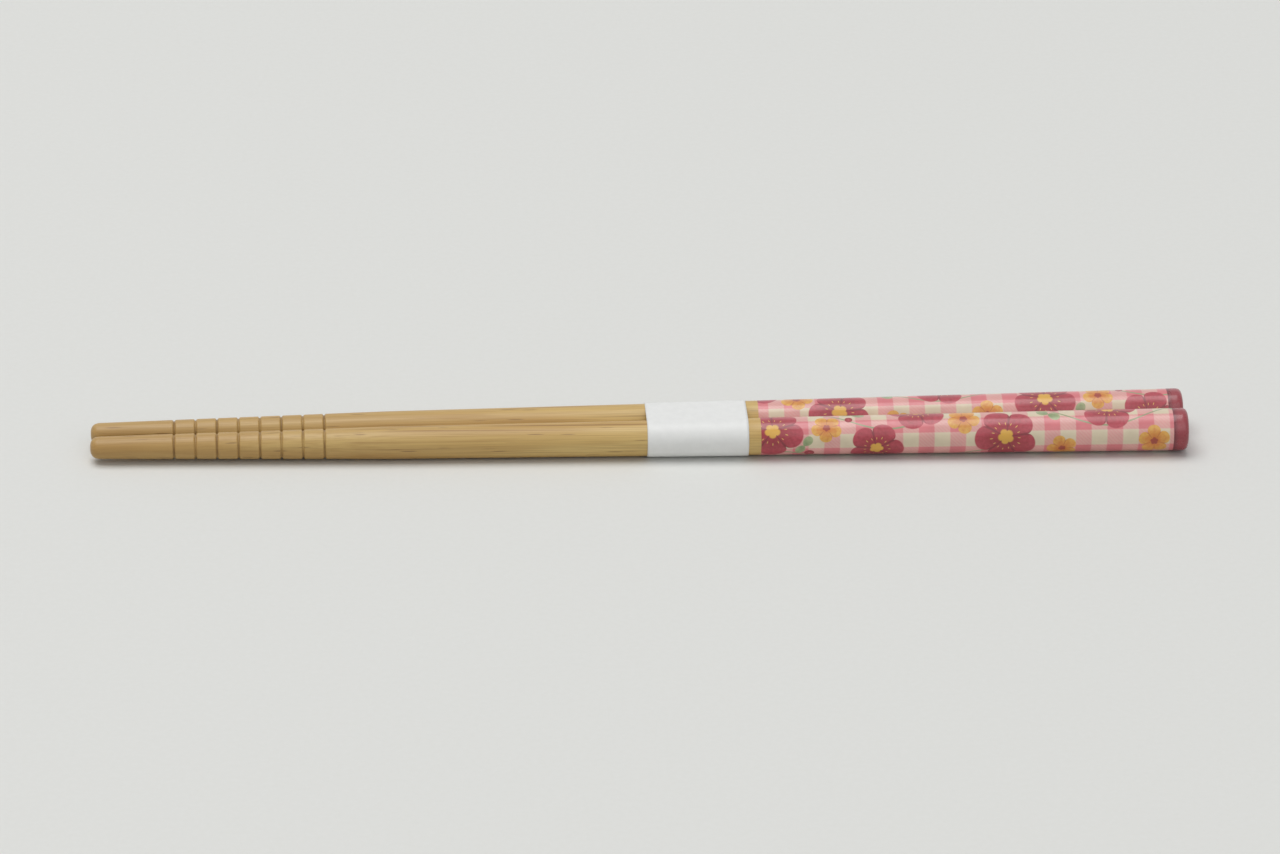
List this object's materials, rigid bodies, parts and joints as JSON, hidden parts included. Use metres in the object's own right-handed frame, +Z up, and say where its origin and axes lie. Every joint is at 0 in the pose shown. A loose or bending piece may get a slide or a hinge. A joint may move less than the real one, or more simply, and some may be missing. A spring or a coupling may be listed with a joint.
{
  "type": "pair of chopsticks",
  "caption": "Pair of round tapered bamboo chopsticks lying side by side, with ring grooves near the tips, printed handles and a paper band that ties them.",
  "frame": {"origin": "middle of the bounding box, at ground level", "axes": "+X along the sticks from the tips towards the printed handles, +Y from the front stick to the back one, +Z up"},
  "size_m": [0.195, 0.0154, 0.0078],
  "materials": {
    "bamboo": "satin",
    "band_paper": "satin"
  },
  "bodies": {
    "root": {"chopstick_front": "bamboo", "chopstick_back": "bamboo", "paper_band": "band_paper"}
  },
  "joints": []
}
